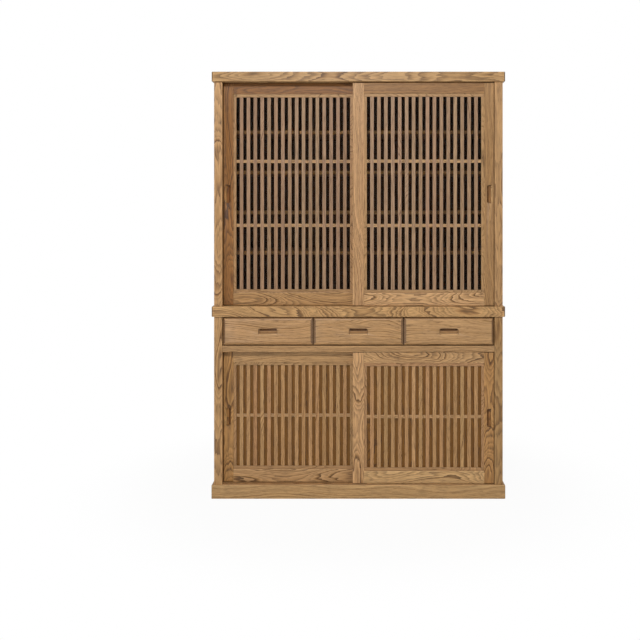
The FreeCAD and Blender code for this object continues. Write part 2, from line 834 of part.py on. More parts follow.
def tails(body, kind, x, wide, narrow, low, high):
    """Three dovetails across a thickness: each a wedge from its wide end to its narrow one, along Y."""
    corner = low_corners[body.Name]
    height = minus(high, low)
    for foot, head in TAIL_SHARES:
        tail = body.newObject("PartDesign::%sWedge" % kind, "Tail")
        foot_place = "%s + (%s) * %s" % (minus(low, corner[2]), height, foot)
        head_place = "%s + (%s) * %s" % (minus(low, corner[2]), height, head)
        ends = {"": wide, "2": narrow} if value(wide) < value(narrow) else {"": narrow, "2": wide}
        bind(tail, {"Ymin": minus(ends[""], corner[1]), "Ymax": minus(ends["2"], corner[1])})
        for end, place in ends.items():
            flare = "tail_flare" if place == wide else "0"
            bind(tail, {
                "X%smin" % end: minus(x[0], corner[0]),
                "X%smax" % end: minus(x[1], corner[0]),
                "Z%smin" % end: "%s - %s" % (foot_place, flare),
                "Z%smax" % end: "%s + %s" % (head_place, flare),
            })


def drawer(name):
    index = DRAWERS.index(name) - 1
    middle = "%d * (drawer_width + drawer_side_gap)" % index
    inner = "divider_place - divider_thick / 2 - drawer_run_gap"
    outer = "divider_place + divider_thick / 2 + drawer_run_gap"
    wall = "inner_half - guide_thick - drawer_run_gap"
    box = {"left": ("-(%s)" % wall, "-(%s)" % outer), "centre": ("-(%s)" % inner, inner),
           "right": (outer, wall)}[name]
    label = "drawer_%s_" % name
    drawer_front(label, middle, box)
    group(label + "sides", [drawer_side(label, hand, box) for hand in ("left", "right")])
    drawer_back(label, box)
    x = bottom_extent(box)
    keep(board(label + "bottom", (x[0], "drawer_face_rear - drawer_bottom_groove", "drawer_bottom_under"),
               (x[1], "drawer_end", "drawer_bottom_top")))


def side_extent(hand, box):
    return {
        "left": (box[0], box[0] + " + drawer_side_thick"),
        "right": (box[1] + " - drawer_side_thick", box[1]),
    }[hand]


def bottom_extent(box):
    margin = "(drawer_side_thick - drawer_bottom_groove)"
    return box[0] + " + " + margin, box[1] + " - " + margin


def drawer_front(label, middle, box):
    body = board(label + "front", (middle + " - drawer_width / 2", "drawer_face", "drawer_foot"),
                 (middle + " + drawer_width / 2", "drawer_face_rear", "drawer_top"))
    ease(body, on_level("y", 0), "drawer_bevel_width", "drawer_bevel_depth")
    for hand in ("left", "right"):
        tails(body, "Subtractive", side_extent(hand, box), "drawer_face_rear - drawer_tail_length",
              "drawer_face_rear", "drawer_run", "drawer_side_top")
    x = bottom_extent(box)
    cut(body, "BottomGroove", (x[0], "drawer_face_rear - drawer_bottom_groove", "drawer_bottom_under"),
        (x[1], "drawer_face_rear + overrun", "drawer_bottom_top"))
    doc.recompute()
    pull_recess(body, (middle, "(drawer_foot + drawer_top) / 2"),
                "drawer_pull_length", "drawer_pull_width", "drawer_pull_depth", "below")
    return keep(body)


def drawer_side(label, hand, box):
    x = side_extent(hand, box)
    shoulder = "drawer_end - drawer_back_thick"
    body = board(label + hand + "_side", (x[0], "drawer_face_rear", "drawer_run"),
                 (x[1], shoulder, "drawer_side_top"))
    add(body, "Heel", (x[0], shoulder, "drawer_run"), (x[1], "drawer_end", "drawer_bottom_top"))
    tails(body, "Additive", x, "drawer_face_rear - drawer_tail_length", "drawer_face_rear",
          "drawer_run", "drawer_side_top")
    tails(body, "Additive", x, "drawer_end", shoulder, "drawer_bottom_top", "drawer_side_top")
    groove = {
        "left": (x[1] + " - drawer_bottom_groove", x[1] + " + overrun"),
        "right": (x[0] + " - overrun", x[0] + " + drawer_bottom_groove"),
    }[hand]
    cut(body, "BottomGroove", (groove[0], "drawer_face_rear - drawer_bottom_groove", "drawer_bottom_under"),
        (groove[1], "drawer_end + overrun", "drawer_bottom_top"))
    return body


def drawer_back(label, box):
    shoulder = "drawer_end - drawer_back_thick"
    body = board(label + "back", (box[0], shoulder, "drawer_bottom_top"),
                 (box[1], "drawer_end", "drawer_side_top"))
    for hand in ("left", "right"):
        tails(body, "Subtractive", side_extent(hand, box), "drawer_end", shoulder,
              "drawer_bottom_top", "drawer_side_top")
    return keep(body)


def build():
    top_board()
    waist_board()
    for level in ("upper", "lower"):
        for hand in ("left", "right"):
            side_panel(level, hand)
        back_panel(level)
    shelves()
    plinth_front()
    for hand in ("left", "right"):
        plinth_side(hand)
    plinth_back()
    floor_board()
    drawer_rail()
    drawer_deck()
    drawer_guides()
    top_stretchers()
    locating_dowels()
    for level in ("upper", "lower"):
        for hand in ("left", "right"):
            door(level, hand)
    for name in DRAWERS:
        drawer(name)
    doc.recompute()


def check():
    """Stops at any failed object or bad shape, before anything is written."""
    for thing in doc.Objects:
        if "Invalid" in thing.State or "Error" in thing.State:
            raise RuntimeError("%s (%s) is %s" % (thing.Label, thing.Name, thing.State))
    for node in nodes:
        if node.Shape.isNull() or not node.Shape.isValid():
            raise RuntimeError("%s has a bad shape" % node.Label)


def write():
    os.makedirs("parts", exist_ok=True)
    for node in nodes:
        node.Shape.exportStep(os.path.join("parts", node.Label + ".step"))
        print(node.Label, len(node.Shape.Solids), round(node.Shape.Volume))


build()
check()
write()
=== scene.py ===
import math
import random

import bpy
from mathutils import Matrix, Vector


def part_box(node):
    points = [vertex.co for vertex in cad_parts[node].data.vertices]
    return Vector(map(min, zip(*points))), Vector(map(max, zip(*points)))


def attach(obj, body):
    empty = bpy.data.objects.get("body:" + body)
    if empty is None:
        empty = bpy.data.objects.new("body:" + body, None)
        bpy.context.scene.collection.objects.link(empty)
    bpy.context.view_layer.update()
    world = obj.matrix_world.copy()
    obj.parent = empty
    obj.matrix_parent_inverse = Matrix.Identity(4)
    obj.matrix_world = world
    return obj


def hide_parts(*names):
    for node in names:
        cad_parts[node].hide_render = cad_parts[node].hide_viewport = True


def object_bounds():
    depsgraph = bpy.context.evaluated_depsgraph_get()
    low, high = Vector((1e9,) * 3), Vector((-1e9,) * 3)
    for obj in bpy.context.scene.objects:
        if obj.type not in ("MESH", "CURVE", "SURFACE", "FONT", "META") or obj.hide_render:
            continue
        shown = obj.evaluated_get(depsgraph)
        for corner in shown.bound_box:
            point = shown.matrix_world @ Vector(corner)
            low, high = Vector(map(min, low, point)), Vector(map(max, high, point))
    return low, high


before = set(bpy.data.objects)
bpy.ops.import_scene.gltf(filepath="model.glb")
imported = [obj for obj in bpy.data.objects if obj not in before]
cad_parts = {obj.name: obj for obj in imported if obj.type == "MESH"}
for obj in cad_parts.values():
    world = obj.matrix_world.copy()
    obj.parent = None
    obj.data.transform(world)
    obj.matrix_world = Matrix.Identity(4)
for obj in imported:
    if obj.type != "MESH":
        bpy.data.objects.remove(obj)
cad_box = [list(corner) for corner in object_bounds()]

MM = 0.001

# The view: a level camera straight in front, as in a furniture catalogue. The picture is 640 pixels wide,
# and 4.42 mm of the cabinet's front plane fill one pixel, with the cabinet a little right of the middle.
scene = bpy.context.scene
scene.view_settings.view_transform = "Standard"
PICTURE_WIDTH = 640
MM_PER_PIXEL = 4.4225
FLOOR_ROW = 498.95
MIDDLE_COLUMN = 358.4
CAMERA_DISTANCE = 4.15
CAMERA_HEIGHT = 1.30
front_plane = cad_box[0][1]
picture_span = PICTURE_WIDTH * MM_PER_PIXEL * MM
aim_x = (PICTURE_WIDTH / 2 - MIDDLE_COLUMN) * MM_PER_PIXEL * MM
aim_z = (FLOOR_ROW - PICTURE_WIDTH / 2) * MM_PER_PIXEL * MM
bpy.ops.object.camera_add(
    location=(0, front_plane - CAMERA_DISTANCE, CAMERA_HEIGHT),
    rotation=(math.radians(90), 0, 0))
camera = bpy.context.object
camera.data.lens = camera.data.sensor_width * CAMERA_DISTANCE / picture_span
camera.data.shift_x = aim_x / picture_span
camera.data.shift_y = (aim_z - CAMERA_HEIGHT) / picture_span
scene.camera = camera


def add_node(tree, kind, settings=None, links=None):
    """Adds a shader node, with its properties or input values set and its inputs linked."""
    made = tree.nodes.new(kind)
    for name, setting in (settings or {}).items():
        if isinstance(name, str) and hasattr(made, name):
            setattr(made, name, setting)
        else:
            made.inputs[name].default_value = setting
    for name, source in (links or {}).items():
        tree.links.new(source, made.inputs[name])
    return made


def linear(colour):
    """An sRGB hex colour as the linear colour that a shader takes."""
    channels = [int(colour[start:start + 2], 16) / 255 for start in (1, 3, 5)]
    return [c / 12.92 if c <= 0.04045 else ((c + 0.055) / 1.055) ** 2.4 for c in channels] + [1]


def seen_not_lit(tree):
    """Gives 1 where a ray comes from the eye, a mirror or glass, and 0 where it only brings light."""
    ray = add_node(tree, "ShaderNodeLightPath")
    mirrored = add_node(tree, "ShaderNodeMath", {"operation": "MAXIMUM"},
                        {0: ray.outputs["Is Camera Ray"], 1: ray.outputs["Is Glossy Ray"]})
    return add_node(tree, "ShaderNodeMath", {"operation": "MAXIMUM"},
                    {0: mirrored.outputs[0], 1: ray.outputs["Is Transmission Ray"]}).outputs[0]


# The studio: an even white surround, one lamp high in front, which throws the boards' shadows down on the
# doors, and a low one at either side. Eyes, mirrors and glass see the surround as plain white.
SURROUND_LEVEL = 0.22
world = scene.world or bpy.data.worlds.new("studio")
scene.world = world
world.use_nodes = True
tree = world.node_tree
tree.nodes.clear()
level = add_node(tree, "ShaderNodeMapRange", {"To Min": SURROUND_LEVEL, "To Max": 1.0},
                 {"Value": seen_not_lit(tree)})
surround = add_node(tree, "ShaderNodeBackground", {"Color": (1, 1, 1, 1)}, {"Strength": level.outputs[0]})
add_node(tree, "ShaderNodeOutputWorld", links={"Surface": surround.outputs[0]})

LAMPS = {
    "key": {"place": (-0.25, -3.9, 3.4), "size": (1.0, 0.5), "power": 106},
    "left": {"place": (-2.8, -3.4, 0.6), "size": (1.2, 1.2), "power": 16},
    "right": {"place": (2.8, -3.4, 0.6), "size": (1.2, 1.2), "power": 12},
}
for name, lamp in LAMPS.items():
    bpy.ops.object.light_add(type="AREA", location=lamp["place"])
    light = bpy.context.object
    light.name = name + "_lamp"
    light.data.shape = "RECTANGLE"
    light.data.size, light.data.size_y = lamp["size"]
    light.data.energy = lamp["power"]
    towards = Vector((0, 0, 1.0)) - light.location
    light.rotation_euler = towards.to_track_quat("-Z", "Y").to_euler()

# The floor: a matt white sheet. Eyes and mirrors see it as white, but for part of the cabinet's shadow, which
# fades out with the distance from the cabinet's middle.
FLOOR_SIZE = 30.0
SHADOW_SHARE = 0.05
SHADOW_START = 0.7
SHADOW_END = 1.4
bpy.ops.object.select_all(action="DESELECT")
bpy.ops.mesh.primitive_plane_add(size=FLOOR_SIZE, location=(0, 0, 0))
floor = bpy.context.object
floor.name = "floor"
paper = bpy.data.materials.new("matt_white_floor")
paper.use_nodes = True
tree = paper.node_tree
tree.nodes.clear()
spot = add_node(tree, "ShaderNodeTexCoord")
away = add_node(tree, "ShaderNodeVectorMath", {"operation": "LENGTH"}, {0: spot.outputs["Object"]})
keeps = add_node(tree, "ShaderNodeMapRange",
                 {"interpolation_type": "SMOOTHSTEP", "From Min": SHADOW_START, "From Max": SHADOW_END,
                  "To Min": 1 - SHADOW_SHARE, "To Max": 1.0},
                 {"Value": away.outputs["Value"]})
white = add_node(tree, "ShaderNodeMath", {"operation": "MULTIPLY"}, {0: seen_not_lit(tree), 1: keeps.outputs[0]})
matt = add_node(tree, "ShaderNodeBsdfDiffuse", {"Color": linear("#F2F2F0")})
glow = add_node(tree, "ShaderNodeEmission", {"Color": (1, 1, 1, 1), "Strength": 1.0})
both = add_node(tree, "ShaderNodeMixShader", links={0: white.outputs[0], 1: matt.outputs[0], 2: glow.outputs[0]})
add_node(tree, "ShaderNodeOutputMaterial", links={"Surface": both.outputs[0]})
floor.data.materials.append(paper)


# The plinth: a frame of ash boards, mitred at the front corners, with a rebate along the top that the lower
# case drops into. Sawn, planed and oiled, with its edges softened by hand.
PLINTH_THICK = 30 * MM
PLINTH_EASE = 1.8 * MM
SHARP_ANGLE = math.radians(40)
FLAT_ANGLE = math.radians(24)


def blank(name, low, high):
    """A sawn block of wood at its size and place."""
    bpy.ops.object.select_all(action="DESELECT")
    low, high = Vector(low), Vector(high)
    bpy.ops.mesh.primitive_cube_add(size=1, location=(low + high) / 2, scale=high - low)
    piece = bpy.context.object
    piece.name = name
    bpy.ops.object.transform_apply(location=True, rotation=True, scale=True)
    return piece


def pick(piece, kind, wanted):
    """Opens a piece in edit mode with only the wanted edges, faces or vertices selected, by their middles."""
    bpy.ops.object.select_all(action="DESELECT")
    bpy.context.view_layer.objects.active = piece
    piece.select_set(True)
    mesh = piece.data
    places = [vertex.co for vertex in mesh.vertices]
    for group in (mesh.vertices, mesh.edges, mesh.polygons):
        group.foreach_set("select", [False] * len(group))
    if kind == "VERT":
        for vertex in mesh.vertices:
            vertex.select = wanted(vertex.co)
    else:
        for element in {"EDGE": mesh.edges, "FACE": mesh.polygons}[kind]:
            middle = sum((places[index] for index in element.vertices), Vector()) / len(element.vertices)
            element.select = wanted(middle)
    scene.tool_settings.mesh_select_mode = [kind == mode for mode in ("VERT", "EDGE", "FACE")]
    bpy.ops.object.mode_set(mode="EDIT")


def saw(piece, waste):
    """Takes the waste block away from a piece."""
    bpy.ops.object.select_all(action="DESELECT")
    bpy.context.view_layer.objects.active = piece
    piece.select_set(True)
    modifier = piece.modifiers.new("cut", "BOOLEAN")
    modifier.operation = "DIFFERENCE"
    modifier.solver = "EXACT"
    modifier.object = waste
    bpy.ops.object.modifier_apply(modifier=modifier.name)
    bpy.data.objects.remove(waste)


def cut(piece, low, high):
    """Cuts a groove, rebate or mortise: all that lies between two corners."""
    saw(piece, blank("waste", low, high))


def soften(piece, ease, steps=2):
    """Takes the sharpness off every edge, as sandpaper does, and shades the flats flat and the rounds round.
    A board is softened before its joints are cut: thin walls between grooves would hold the ease back."""
    bpy.ops.object.select_all(action="DESELECT")
    bpy.context.view_layer.objects.active = piece
    piece.select_set(True)
    modifier = piece.modifiers.new("ease", "BEVEL")
    modifier.width = ease
    modifier.segments = steps
    modifier.limit_method = "ANGLE"
    modifier.angle_limit = SHARP_ANGLE
    modifier.harden_normals = True
    bpy.ops.object.modifier_apply(modifier=modifier.name)
    bpy.ops.object.shade_smooth_by_angle(angle=FLAT_ANGLE)


chance = random.Random(1868)
GRAIN_AXES = {"level": 0, "deep": 1, "upright": 2}
FLAT_SAWN = (40 * MM, 66 * MM)
RIFT_SAWN = (90 * MM, 140 * MM)
PITH_SHIFT = 8 * MM
LOG_LENGTH = 6.0
BEHIND_AND_ABOVE = (0, 0.5, 1)
# Faces of an eased edge narrower than EDGE_WIDTH get a painted highlight: EDGE_PAINTED_HIGHLIGHT says how much
# paler they are painted.
EDGE_WIDTH = 2.4 * MM
EDGE_PAINTED_HIGHLIGHT = 0.6


def dress(piece, woods, way, shade=0.0, behind=(0, 1, 0), depths=FLAT_SAWN):
    """Gives a board its wood, and says how it was cut from its log: where the pith lay, and how dark the board
    came out, 0 for a plain one and about 1 for a dark one. The pith runs along the grain, some way behind the
    middle of the board. A glued panel's own wood sets each stave's pith, so nothing is behind it. The eased edges
    get a painted highlight: their narrow faces are painted paler than the flats."""
    corners = [Vector(corner) for corner in piece.bound_box]
    pith = sum(corners, Vector()) / len(corners)
    if behind:
        pith += Vector(behind).normalized() * chance.uniform(*depths)
    for axis in range(3):
        pith[axis] += chance.uniform(-PITH_SHIFT, PITH_SHIFT)
    pith[GRAIN_AXES[way]] += chance.uniform(-LOG_LENGTH, LOG_LENGTH)
    count = len(piece.data.polygons)
    board = piece.data.attributes.new("board", "FLOAT_VECTOR", "FACE")
    board.data.foreach_set("vector", [-value for value in pith] * count)
    shades = []
    for face in piece.data.polygons:
        ends = [[piece.data.vertices[index].co for index in edge] for edge in face.edge_keys]
        longest = max((one - other).length for one, other in ends)
        # Narrow eased-edge faces get the painted highlight.
        shades.append(shade - EDGE_PAINTED_HIGHLIGHT if face.area < longest * EDGE_WIDTH else shade)
    dark = piece.data.attributes.new("shade", "FLOAT", "FACE")
    dark.data.foreach_set("value", shades)
    piece.data.materials.clear()
    piece.data.materials.append(woods[way])


def fit(piece, body, slot, *nodes):
    """Puts a finished piece in its place in the assembly, instead of the nodes named."""
    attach(piece, body)
    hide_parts(*nodes)


# Ash, sawn and oiled: each year's ring starts with a dark line of open pores, some years far darker than
# others, and the log's sway brings the rings up through the face as nested arches. Rings and pores are
# drawn coarser than real, so they show.
RING_WIDTH = 3.0 * MM
SWAY_LENGTH = 0.9
SWAY = 0.15
GRAIN_STRETCH = 0.12
WANDER = 2.8
WIGGLE_LENGTH = 22 * MM
LEAN_YEARS = 14 * MM
LEAN_SPREAD = 3.6
FAINTEST_YEAR = 0.2
PORE_LENGTH = 32 * MM
PORE_WIDTH = 1.8 * MM
PORE_SHARES = (0.56, 0.66)
PORE_SEASON = (0.85, 0.3)
PIT_DEPTH = 0.15 * MM
PIT_ROUGHNESS = 0.22
STREAK_WIDTH = 7 * MM
STREAK_STRETCH = 0.03
STREAK_LEVELS = (0.78, 1.17)
END_SHARE = 0.78
TURNS = {"level": (0, 0, 0), "deep": (0, 0, math.radians(-90)), "upright": (0, math.radians(90), 0)}
HEART_SPREAD = {"upright": (0.36, 0.05, 6.0), "level": (6.0, 0.05, 0.36)}
FRONT_HEART = 48 * MM
STAVE_SHADE = 0.3
DARKEST = "#BBAA90"
TINT_SHARE = 0.05
ASH_RING = (("#432812", 0.0), ("#765028", 0.22), ("#B18553", 0.50), ("#CBA16F", 0.85), ("#AF8150", 1.0))


def sawn(name, way, ring=ASH_RING, ring_width=RING_WIDTH, sway=SWAY, wander=WANDER, stave=None, gloss=0.46,
         end="#482A10", pits="#4C2F16"):
    """A sawn and finished wood with its grain along one axis. ring gives the colours across one year's
    growth, the last but one the plain wood. stave gives the front of a glued panel and the width of its
    boards, side by side along Y: the front one has its heart right behind the front edge, and the others
    have it above or below."""
    material = bpy.data.materials.new("%s_%s" % (name, way))
    material.use_nodes = True
    tree = material.node_tree
    tree.nodes.clear()
    spot = add_node(tree, "ShaderNodeTexCoord")
    board = add_node(tree, "ShaderNodeAttribute", {"attribute_name": "board"})
    moved = add_node(tree, "ShaderNodeVectorMath", {"operation": "ADD"},
                     {0: spot.outputs["Object"], 1: board.outputs["Vector"]})
    darker = add_node(tree, "ShaderNodeAttribute", {"attribute_name": "shade"})
    depth = darker.outputs["Fac"]
    own = add_node(tree, "ShaderNodeTexWhiteNoise", {"noise_dimensions": "3D"},
                   {"Vector": board.outputs["Vector"]})
    if stave:
        # Each stave of a glued panel gets a heart and a shade of its own.
        front, width = stave
        place = add_node(tree, "ShaderNodeSeparateXYZ", links={0: spot.outputs["Object"]})
        share = add_node(tree, "ShaderNodeMath", {"operation": "MULTIPLY_ADD", 1: 1 / width, 2: -front / width},
                         {0: place.outputs["Y"]})
        number = add_node(tree, "ShaderNodeMath", {"operation": "FLOOR"}, {0: share.outputs[0]})
        centre = add_node(tree, "ShaderNodeMath",
                          {"operation": "MULTIPLY_ADD", 1: -width, 2: -front - width / 2 - FRONT_HEART},
                          {0: number.outputs[0]})
        aside = add_node(tree, "ShaderNodeCombineXYZ", links={"Y": centre.outputs[0]})
        drawn = add_node(tree, "ShaderNodeTexWhiteNoise", {"noise_dimensions": "1D"}, {"W": number.outputs[0]})
        either_way = add_node(tree, "ShaderNodeVectorMath", {"operation": "SUBTRACT", 1: (0.5, 0.5, 0.5)},
                              {0: drawn.outputs["Color"]})
        hearts = add_node(tree, "ShaderNodeVectorMath", {"operation": "MULTIPLY_ADD", 1: HEART_SPREAD[way]},
                          {0: either_way.outputs[0], 2: aside.outputs[0]})
        inner = add_node(tree, "ShaderNodeMath", {"operation": "MINIMUM", 1: 1.0}, {0: number.outputs[0]})
        apart = add_node(tree, "ShaderNodeMix", {"data_type": "VECTOR"},
                         {0: inner.outputs[0], 4: aside.outputs[0], 5: hearts.outputs[0]})
        moved = add_node(tree, "ShaderNodeVectorMath", {"operation": "ADD"},
                         {0: moved.outputs[0], 1: apart.outputs[1]})
        deeper = add_node(tree, "ShaderNodeMath", {"operation": "MULTIPLY_ADD", 1: STAVE_SHADE},
                          {0: drawn.outputs["Value"], 2: depth})
        depth = deeper.outputs[0]
    # The log sways from side to side along its length.
    turned = add_node(tree, "ShaderNodeMapping", {"Rotation": TURNS[way]}, {"Vector": moved.outputs[0]})
    along = add_node(tree, "ShaderNodeSeparateXYZ", links={0: turned.outputs[0]})
    up_the_log = add_node(tree, "ShaderNodeMath", {"operation": "DIVIDE", 1: SWAY_LENGTH}, {0: along.outputs["X"]})
    lean = add_node(tree, "ShaderNodeTexNoise", {"noise_dimensions": "1D", "Scale": 1.0, "Detail": 1.0},
                    {"W": up_the_log.outputs[0]})
    both_ways = add_node(tree, "ShaderNodeVectorMath", {"operation": "SUBTRACT", 1: (0.5, 0.5, 0.5)},
                         {0: lean.outputs["Color"]})
    swayed = add_node(tree, "ShaderNodeVectorMath", {"operation": "MULTIPLY_ADD", 1: (0, sway, sway)},
                      {0: both_ways.outputs[0], 2: turned.outputs[0]})
    drawn_out = add_node(tree, "ShaderNodeVectorMath", {"operation": "MULTIPLY", 1: (GRAIN_STRETCH, 1, 1)},
                         {0: swayed.outputs[0]})
    outwards = add_node(tree, "ShaderNodeVectorMath", {"operation": "MULTIPLY", 1: (0, 1, 1)},
                        {0: swayed.outputs[0]})
    radius = add_node(tree, "ShaderNodeVectorMath", {"operation": "LENGTH"}, {0: outwards.outputs[0]})
    # The rings around the heart: wavy, close together in lean years, some marked and some faint.
    wiggle = add_node(tree, "ShaderNodeTexNoise", {"Scale": 1 / WIGGLE_LENGTH, "Detail": 3.0, "Roughness": 0.55},
                      {"Vector": drawn_out.outputs[0]})
    growth = add_node(tree, "ShaderNodeMath", {"operation": "DIVIDE", 1: LEAN_YEARS}, {0: radius.outputs["Value"]})
    lean_years = add_node(tree, "ShaderNodeTexNoise", {"noise_dimensions": "1D", "Scale": 1.0, "Detail": 1.0},
                          {"W": growth.outputs[0]})
    even = add_node(tree, "ShaderNodeMath", {"operation": "DIVIDE", 1: ring_width}, {0: radius.outputs["Value"]})
    uneven = add_node(tree, "ShaderNodeMath", {"operation": "MULTIPLY_ADD", 1: LEAN_SPREAD},
                      {0: lean_years.outputs["Fac"], 2: even.outputs[0]})
    age = add_node(tree, "ShaderNodeMath", {"operation": "MULTIPLY_ADD", 1: wander},
                   {0: wiggle.outputs["Fac"], 2: uneven.outputs[0]})
    year = add_node(tree, "ShaderNodeMath", {"operation": "FLOOR"}, {0: age.outputs[0]})
    season = add_node(tree, "ShaderNodeMath", {"operation": "FRACT"}, {0: age.outputs[0]})
    ramp = add_node(tree, "ShaderNodeValToRGB", links={"Fac": season.outputs[0]})
    elements = ramp.color_ramp.elements
    while len(elements) < len(ring):
        elements.new(0.5)
    for element, (colour, place) in zip(elements, ring):
        element.position = place
        element.color = linear(colour)
    weather = add_node(tree, "ShaderNodeTexWhiteNoise", {"noise_dimensions": "1D"}, {"W": year.outputs[0]})
    marked = add_node(tree, "ShaderNodeMapRange", {"To Min": FAINTEST_YEAR, "To Max": 1.0},
                      {"Value": weather.outputs["Value"]})
    ringed = add_node(tree, "ShaderNodeMix", {"data_type": "RGBA", 6: linear(ring[-2][0])},
                      {0: marked.outputs[0], 7: ramp.outputs["Color"]})
    # Open pores, long and narrow, most of them in the early part of a year.
    fibres = add_node(tree, "ShaderNodeVectorMath",
                      {"operation": "MULTIPLY", 1: (1 / PORE_LENGTH, 1 / PORE_WIDTH, 1 / PORE_WIDTH)},
                      {0: turned.outputs[0]})
    pores = add_node(tree, "ShaderNodeTexNoise", {"Scale": 1.0, "Detail": 1.0}, {"Vector": fibres.outputs[0]})
    opened = add_node(tree, "ShaderNodeMapRange", {"From Min": PORE_SHARES[0], "From Max": PORE_SHARES[1]},
                      {"Value": pores.outputs["Fac"]})
    early = add_node(tree, "ShaderNodeMapRange",
                     {"From Max": 0.5, "To Min": PORE_SEASON[0], "To Max": PORE_SEASON[1]},
                     {"Value": season.outputs[0]})
    pitted = add_node(tree, "ShaderNodeMath", {"operation": "MULTIPLY"},
                      {0: opened.outputs[0], 1: early.outputs[0]})
    grained = add_node(tree, "ShaderNodeMix", {"data_type": "RGBA", 7: linear(pits)},
                       {0: pitted.outputs[0], 6: ringed.outputs[2]})
    # Streaks along the grain, the board's own tint, and how dark it is.
    lengthwise, crosswise = STREAK_STRETCH / STREAK_WIDTH, 1 / STREAK_WIDTH
    pulled = add_node(tree, "ShaderNodeVectorMath",
                      {"operation": "MULTIPLY", 1: (lengthwise, crosswise, crosswise)}, {0: swayed.outputs[0]})
    streaks = add_node(tree, "ShaderNodeTexNoise", {"Scale": 1.0, "Detail": 4.0, "Roughness": 0.6},
                       {"Vector": pulled.outputs[0]})
    streaked = add_node(tree, "ShaderNodeMapRange",
                        {"From Min": 0.3, "From Max": 0.7, "To Min": STREAK_LEVELS[0], "To Max": STREAK_LEVELS[1]},
                        {"Value": streaks.outputs["Fac"]})
    toned = add_node(tree, "ShaderNodeVectorMath", {"operation": "SCALE"},
                     {0: grained.outputs[2], "Scale": streaked.outputs[0]})
    tinted = add_node(tree, "ShaderNodeMix", {"data_type": "RGBA", "blend_type": "MULTIPLY", 0: TINT_SHARE},
                      {6: toned.outputs[0], 7: own.outputs["Color"]})
    deepened = add_node(tree, "ShaderNodeMix",
                        {"data_type": "RGBA", "blend_type": "MULTIPLY", "clamp_factor": False,
                         "clamp_result": True, 7: linear(DARKEST)}, {0: depth, 6: tinted.outputs[2]})
    # End grain drinks more oil and comes out darker.
    facing = add_node(tree, "ShaderNodeNewGeometry")
    away = add_node(tree, "ShaderNodeSeparateXYZ", links={0: facing.outputs["True Normal"]})
    across = add_node(tree, "ShaderNodeMath", {"operation": "ABSOLUTE"}, {0: away.outputs[GRAIN_AXES[way]]})
    end_grain = add_node(tree, "ShaderNodeMapRange", {"From Min": 0.12, "From Max": 0.5, "To Max": END_SHARE},
                         {"Value": across.outputs[0]})
    coloured = add_node(tree, "ShaderNodeMix", {"data_type": "RGBA", 7: linear(end)},
                        {0: end_grain.outputs[0], 6: deepened.outputs[2]})
    # The surface: oiled wood, with its pores sunk and dull.
    relief = add_node(tree, "ShaderNodeMath", {"operation": "MULTIPLY", 1: -1.0}, {0: pitted.outputs[0]})
    bump = add_node(tree, "ShaderNodeBump", {"Strength": 0.35, "Distance": PIT_DEPTH},
                    {"Height": relief.outputs[0]})
    rough = add_node(tree, "ShaderNodeMapRange", {"To Min": gloss, "To Max": gloss + PIT_ROUGHNESS},
                     {"Value": pitted.outputs[0]})
    surface = add_node(tree, "ShaderNodeBsdfPrincipled", {"IOR": 1.48, "Specular IOR Level": 0.4},
                       {"Base Color": coloured.outputs[2], "Roughness": rough.outputs[0],
                        "Normal": bump.outputs[0]})
    add_node(tree, "ShaderNodeOutputMaterial", links={"Surface": surface.outputs[0]})
    return material


board_ash = {way: sawn("oiled_ash", way) for way in ("level", "deep")}
case_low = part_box("lower_left_side")[0]
case_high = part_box("lower_right_side")[1]
plinth_low, plinth_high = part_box("plinth_front")
recess = (case_low, (case_high.x, case_high.y + MM, plinth_high.z + MM))
plinth = blank("plinth_front_board", plinth_low, plinth_high)
for side in (-1, 1):
    pick(plinth, "VERT", lambda co: co.x * side > 0 and co.y > plinth_low.y + PLINTH_THICK / 2)
    bpy.ops.transform.translate(value=(-side * PLINTH_THICK, 0, 0))
    bpy.ops.object.mode_set(mode="OBJECT")
cut(plinth, *recess)
soften(plinth, PLINTH_EASE)
dress(plinth, board_ash, "level", behind=BEHIND_AND_ABOVE, depths=RIFT_SAWN)
fit(plinth, "cabinet", "ash_boards", "plinth_front")

for hand, side in (("left", -1), ("right", 1)):
    low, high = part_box("plinth_" + hand)
    board = blank("plinth_%s_board" % hand, low, high)
    inner_edge = plinth_high.x - PLINTH_THICK / 2
    pick(board, "VERT", lambda co: co.x * side < inner_edge and co.y < plinth_low.y + PLINTH_THICK / 2)
    bpy.ops.transform.translate(value=(0, PLINTH_THICK, 0))
    bpy.ops.object.mode_set(mode="OBJECT")
    cut(board, *recess)
    soften(board, PLINTH_EASE)
    dress(board, board_ash, "deep", behind=(-side, 0, 0))
    fit(board, "cabinet", "ash_boards", "plinth_" + hand)


# The four side panels: oiled ash, each glued edge to edge from upright staves about 110 mm wide, grooved
# for the back panel and housed for the floor and the rail. The lower pair drop into the plinth.
STAVE_WIDTH = 110 * MM
HOUSE_SHOULDER = 8 * MM
PANEL_EASE = 1.5 * MM
SIDE_SHADES = {"lower_left": 0.0, "lower_right": 0.35, "upper_left": 0.0, "upper_right": 0.15}
panel_ash = {"upright": sawn("glued_ash_staves", "upright", sway=0.07, stave=(case_low.y, STAVE_WIDTH))}


def housing(node, shoulder=0.0):
    """The space that a node takes up in its neighbours, from a little behind the front edge."""
    low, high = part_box(node)
    return (low.x, low.y + shoulder, low.z), high


for level in ("lower", "upper"):
    for hand, side in (("left", -1), ("right", 1)):
        node = "%s_%s_side" % (level, hand)
        panel = blank(node + "_panel", *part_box(node))
        soften(panel, PANEL_EASE)
        cut(panel, *housing(level + "_back_panel"))
        if level == "lower":
            cut(panel, *housing("floor_board", HOUSE_SHOULDER))
            cut(panel, *housing("drawer_rail", HOUSE_SHOULDER))
            cut(panel, *housing("drawer_deck"))
        dress(panel, panel_ash, "upright", SIDE_SHADES["%s_%s" % (level, hand)], behind=None)
        fit(panel, "cabinet", "ash_sides", node)


